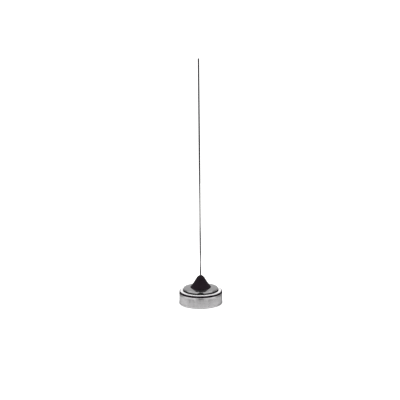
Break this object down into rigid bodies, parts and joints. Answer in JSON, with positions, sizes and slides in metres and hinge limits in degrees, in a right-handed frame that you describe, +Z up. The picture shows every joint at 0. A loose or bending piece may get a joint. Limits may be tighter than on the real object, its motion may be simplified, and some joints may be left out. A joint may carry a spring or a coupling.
{
  "type": "mobile radio antenna",
  "caption": "Quarter-wave mobile radio antenna: knurled threaded collar, insulator, polished disc, flared black cone and thin steel whip, with a sprung centre contact.",
  "frame": {"origin": "on the axis, at the foot of the mount gasket", "axes": "+Z up along the whip, +X through the set screws; round about +Z apart from them"},
  "size_m": [0.036, 0.036, 0.2121],
  "materials": {
    "satin_nickel": "satin nickel plate over brass",
    "polished_chrome": "polished chrome plate",
    "satin_chrome": "satin chrome plate",
    "black_moulding": "black moulded plastic, fine matt grain",
    "black_rubber": "black rubber",
    "stainless": "drawn stainless steel",
    "brass": "turned brass",
    "contact_plate": "gold-coloured plated contact",
    "dark_steel": "black oxide steel"
  },
  "bodies": {
    "antenna": {"mount_gasket": "black_rubber", "mounting_collar": "satin_nickel", "collar_seal": "black_rubber", "insulator": "black_moulding", "stud_o_ring": "black_rubber", "nut_washer": "stainless", "retaining_nut": "brass", "trim_flange": "satin_chrome", "disc_gasket": "black_rubber", "top_disc": "polished_chrome", "centre_stud": "brass", "contact_bush": "brass", "contact_spring": "stainless", "lock_washer": "stainless", "whip_ferrule": "brass", "set_screws": "dark_steel", "whip_seal": "black_rubber", "cone_cap": "black_moulding", "whip_rod": "stainless"},
    "contact": {"contact_plunger": "contact_plate"}
  },
  "joints": [
    {"name": "contact_press", "type": "slide", "parent": "antenna", "child": "contact", "axis": [0, 0, 1], "range_m": [0, 0.0012], "stiffness_N_per_m": 800, "deforming": ["contact_spring"]}
  ]
}
